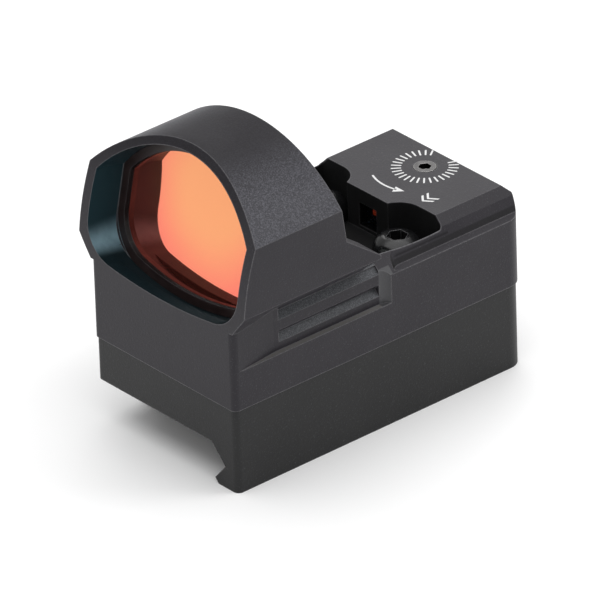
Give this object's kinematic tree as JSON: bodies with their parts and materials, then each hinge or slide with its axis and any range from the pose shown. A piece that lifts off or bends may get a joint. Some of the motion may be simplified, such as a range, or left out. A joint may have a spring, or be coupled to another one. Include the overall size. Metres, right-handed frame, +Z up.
{
  "type": "reflex sight",
  "caption": "Compact reflex sight: arched hood with a tilted coated lens, rear block with screw adjusters, and a riser with an integral rail clamp.",
  "frame": {"origin": "centre of the rail seat, the flat roof of the rail channel", "axes": "+X towards the fixed clamp leg, +Y from the front lens to the rear block, +Z up, away from the rail"},
  "size_m": [0.0312, 0.0474, 0.0414],
  "materials": {
    "anodised_housing": "bead-blasted, black-grey hard anodised",
    "anodised_mount": "satin black hard anodised",
    "coated_glass": "dichroic coating, orange from the front",
    "clear_glass": "polished",
    "blackened_frame": "matt black",
    "black_steel": "black oxide, slightly glossy",
    "bright_steel": "turned, dark nickel",
    "spring_steel": "bright drawn wire and strip",
    "black_rubber": "moulded",
    "button_rubber": "silicone, satin",
    "brass_nut": "machined",
    "black_plastic": "moulded",
    "emitter_red": "clear red resin",
    "board_green": "solder mask",
    "flex_amber": "polyimide",
    "cell_steel": "nickel-plated can"
  },
  "bodies": {
    "sight": {"housing": "anodised_housing", "mount_body": "anodised_mount", "lens_retainer": "blackened_frame", "lens_front_element": "coated_glass", "lens_rear_element": "clear_glass", "emitter_window": "clear_glass", "base_gasket": "black_rubber", "mount_screw_left": "black_steel", "mount_screw_right": "black_steel", "dowel_left": "bright_steel", "dowel_right": "bright_steel", "circuit_board": "board_green", "board_chips": "black_plastic", "switch_front": "black_plastic", "switch_rear": "black_plastic", "led_flex": "flex_amber", "coin_cell": "cell_steel", "battery_spring": "spring_steel", "battery_contact": "brass_nut", "elevation_spring": "spring_steel", "windage_spring": "spring_steel"},
    "elevation_adjuster": {"elevation_screw": "bright_steel", "elevation_o_ring": "black_rubber", "elevation_clip": "spring_steel"},
    "windage_adjuster": {"windage_screw": "bright_steel", "windage_o_ring": "black_rubber", "windage_clip": "spring_steel"},
    "elevation_slide": {"elevation_block": "brass_nut"},
    "windage_slide": {"windage_block": "brass_nut"},
    "emitter_slide": {"led_carrier": "black_plastic", "led_emitter": "emitter_red"},
    "clamp": {"clamp_jaw": "anodised_mount"},
    "front_clamp_screw": {"clamp_screw_front": "black_steel"},
    "rear_clamp_screw": {"clamp_screw_rear": "black_steel"},
    "plus_button": {"button_plus": "button_rubber"},
    "minus_button": {"button_minus": "button_rubber"}
  },
  "joints": [
    {"name": "elevation_turn", "type": "hinge", "parent": "sight", "child": "elevation_adjuster", "pos_m": [0, 0.01925, 0.017], "axis": [0, 0, 1], "range_deg": [-361, 361]},
    {"name": "elevation_travel", "type": "slide", "parent": "sight", "child": "elevation_slide", "axis": [0, 0, 1], "range_m": [-0.00045, 0.00045], "deforming": ["elevation_spring"]},
    {"name": "windage_turn", "type": "hinge", "parent": "sight", "child": "windage_adjuster", "pos_m": [-0.011, 0.0154, 0.0122], "axis": [1, 0, 0], "range_deg": [-361, 361]},
    {"name": "windage_travel", "type": "slide", "parent": "sight", "child": "windage_slide", "axis": [1, 0, 0], "range_m": [-0.00045, 0.00045], "deforming": ["windage_spring"]},
    {"name": "emitter_travel", "type": "slide", "parent": "elevation_slide", "child": "emitter_slide", "axis": [1, 0, 0], "range_m": [-0.000451, 0.000451]},
    {"name": "clamp_travel", "type": "slide", "parent": "sight", "child": "clamp", "axis": [-1, 0, 0], "range_m": [0, 0.003]},
    {"name": "front_clamp_screw_turn", "type": "hinge", "parent": "clamp", "child": "front_clamp_screw", "pos_m": [-0.01205, -0.013, 0.002], "axis": [1, 0, 0], "range_deg": [-2161, 0]},
    {"name": "rear_clamp_screw_turn", "type": "hinge", "parent": "clamp", "child": "rear_clamp_screw", "pos_m": [-0.01205, 0.013, 0.002], "axis": [1, 0, 0], "range_deg": [-2161, 0]},
    {"name": "plus_press", "type": "slide", "parent": "sight", "child": "plus_button", "axis": [1, 0, 0], "range_m": [0, 0.0004], "stiffness_N_per_m": 400},
    {"name": "minus_press", "type": "slide", "parent": "sight", "child": "minus_button", "axis": [1, 0, 0], "range_m": [0, 0.0004], "stiffness_N_per_m": 400}
  ],
  "couplings": [
    {"joint": "elevation_turn", "follows": "elevation_travel", "rad_per_m": -13963},
    {"joint": "windage_turn", "follows": "windage_travel", "rad_per_m": -13963},
    {"joint": "emitter_travel", "follows": "windage_travel", "ratio": 1},
    {"joint": "front_clamp_screw_turn", "follows": "clamp_travel", "rad_per_m": -12566},
    {"joint": "rear_clamp_screw_turn", "follows": "clamp_travel", "rad_per_m": -12566}
  ]
}
